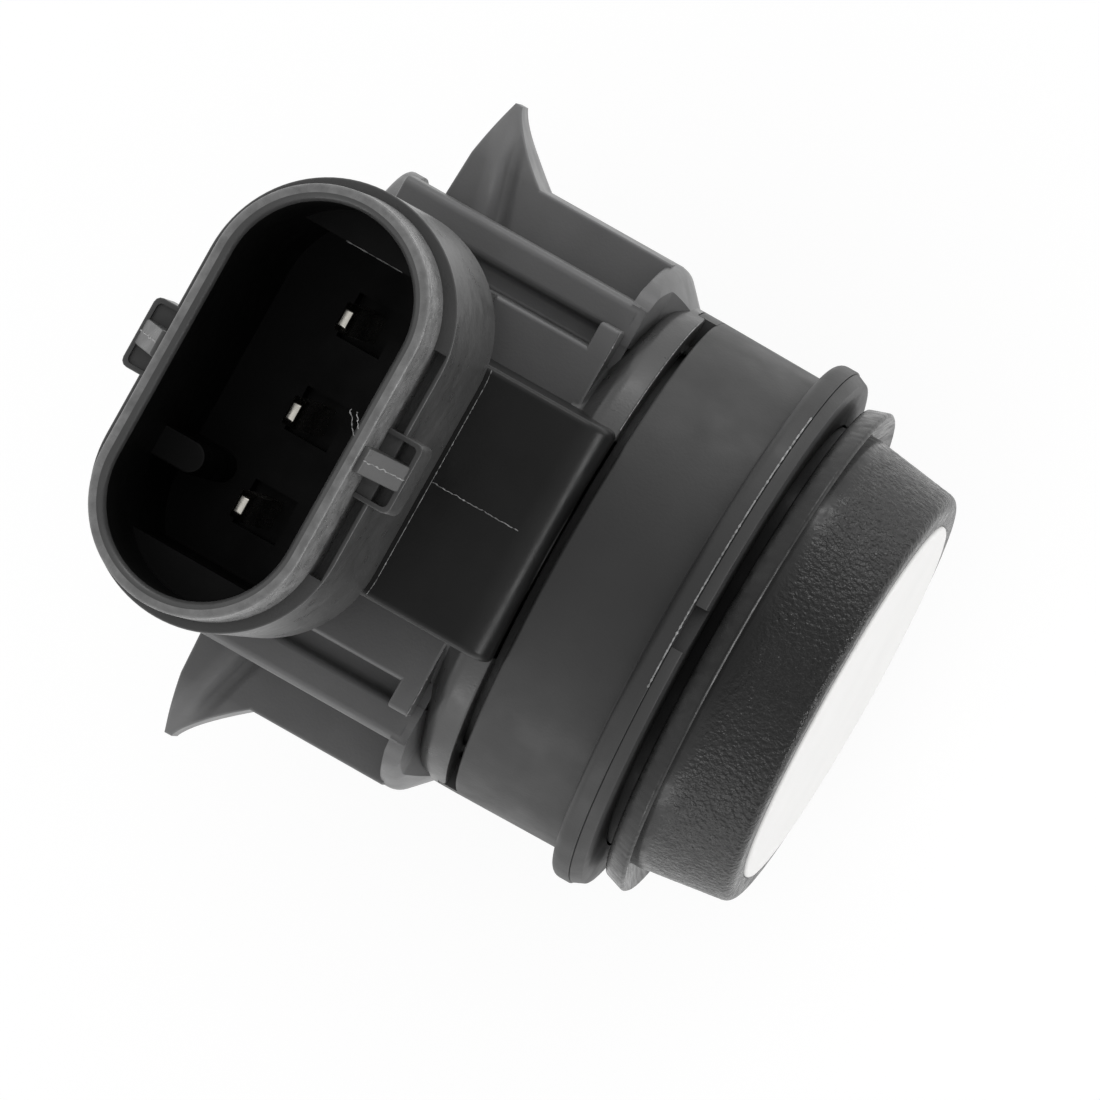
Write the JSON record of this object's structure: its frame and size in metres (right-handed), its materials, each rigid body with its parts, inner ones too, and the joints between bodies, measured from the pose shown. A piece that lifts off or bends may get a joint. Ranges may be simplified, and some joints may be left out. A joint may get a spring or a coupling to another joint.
{
  "type": "parking sensor",
  "caption": "Clip-in ultrasonic parking sensor: white round sounding face in a black grained nose, sleeve with collar, and a rear housing with spring clips and an upright oval plug socket.",
  "frame": {"origin": "on the sensing axis, at the middle of the front collar's cylindrical land", "axes": "+X along the sensing axis out of the white face, +Z towards the connector's mouth, +Y towards one clip arm"},
  "size_m": [0.0289, 0.028, 0.0346],
  "materials": {
    "housing_plastic": "glass-filled moulded plastic, matte",
    "cover_plastic": "moulded plastic, matte",
    "sleeve_plastic": "moulded plastic, satin",
    "ring_plastic": "moulded plastic, satin",
    "silicone": "spark-eroded grain on the nose, smooth on the lip",
    "white_face": "white primer on an aluminium cup",
    "piezo_ceramic": "fired ceramic",
    "foam": "soft closed-cell foam",
    "carrier_plastic": "moulded plastic",
    "contact_metal": "bright",
    "copper": "enamelled copper",
    "tinned_metal": "tinned, bright",
    "board_laminate": "solder mask",
    "chip_plastic": "moulded epoxy",
    "ferrite": "ground ferrite",
    "capacitor_body": "moulded epoxy",
    "capacitor_ceramic": "ceramic with tinned ends",
    "resistor_ceramic": "ceramic with tinned ends"
  },
  "bodies": {
    "root": {"rear_housing": "housing_plastic", "rear_cover": "cover_plastic", "front_sleeve": "sleeve_plastic", "retaining_ring": "ring_plastic", "decoupling_ring": "silicone", "membrane_cup": "white_face", "piezo_disc": "piezo_ceramic", "damping_pad": "foam", "contact_carrier": "carrier_plastic", "contact_pin_left": "contact_metal", "contact_pin_right": "contact_metal", "piezo_lead_live": "copper", "piezo_lead_return": "copper", "terminal_pin_left": "tinned_metal", "terminal_pin_middle": "tinned_metal", "terminal_pin_right": "tinned_metal", "circuit_board": "board_laminate", "control_chip": "chip_plastic", "transformer_core": "ferrite", "transformer_winding": "copper", "storage_capacitor": "capacitor_body", "filter_capacitors": "capacitor_ceramic", "chip_resistors": "resistor_ceramic"}
  },
  "joints": []
}
